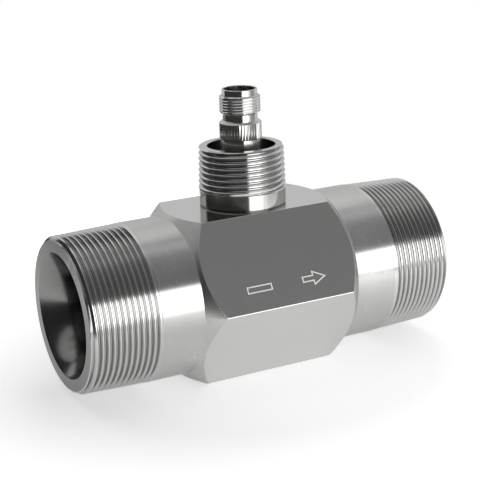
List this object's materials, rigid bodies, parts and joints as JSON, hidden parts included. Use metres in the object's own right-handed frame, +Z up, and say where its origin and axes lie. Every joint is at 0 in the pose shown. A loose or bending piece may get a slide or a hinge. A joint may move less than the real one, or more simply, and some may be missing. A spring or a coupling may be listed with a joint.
{
  "type": "turbine flow meter",
  "caption": "Turbine flow meter: hexagon-bar housing with taper-threaded ends, a bladed rotor between vaned supports, and a magnetic pickup in a threaded riser.",
  "frame": {"origin": "centre of the housing's bottom flat, under the pickup's axis", "axes": "+X along the bore, downstream, with the flow; +Z up, along the pickup; +Y across, to complete the right hand"},
  "size_m": [0.154, 0.0734, 0.108],
  "materials": {
    "housing_steel": "stainless bar, turned and milled",
    "riser_steel": "stainless, turned and thread-cut",
    "support_steel": "stainless, machined",
    "spring_steel": "stainless spring steel, stamped",
    "rotor_steel": "magnetic stainless, milled",
    "carbide": "tungsten carbide, ground and lapped",
    "pickup_steel": "stainless, turned and knurled",
    "soft_iron": "soft iron, ground",
    "magnet_alloy": "cast magnet alloy",
    "magnet_wire": "enamelled copper wire",
    "bobbin_nylon": "glass-filled nylon, moulded",
    "potting_resin": "cast epoxy",
    "insulator": "moulded phenolic",
    "contact_plating": "gold-plated contact"
  },
  "bodies": {
    "housing": {"meter_body": "housing_steel", "pickup_riser": "riser_steel", "inlet_support": "support_steel", "outlet_support": "support_steel", "inlet_nose_cone": "support_steel", "outlet_tail_cone": "support_steel", "inlet_retaining_ring": "spring_steel", "outlet_retaining_ring": "spring_steel", "inlet_thrust_washer": "carbide", "outlet_thrust_washer": "carbide", "rotor_shaft": "carbide", "pickup_lock_nut": "pickup_steel", "pickup_shell": "pickup_steel", "pole_piece": "soft_iron", "coil_bobbin": "bobbin_nylon", "pickup_coil": "magnet_wire", "pickup_magnet": "magnet_alloy", "coil_leads": "magnet_wire", "pickup_potting": "potting_resin", "connector_insert": "insulator", "connector_contacts": "contact_plating"},
    "rotor": {"rotor_wheel": "rotor_steel", "inlet_rotor_bushing": "carbide", "outlet_rotor_bushing": "carbide"}
  },
  "joints": [
    {"name": "rotor_spin", "type": "hinge", "parent": "housing", "child": "rotor", "pos_m": [0, 0, 0.03175], "axis": [1, 0, 0], "continuous": true}
  ]
}
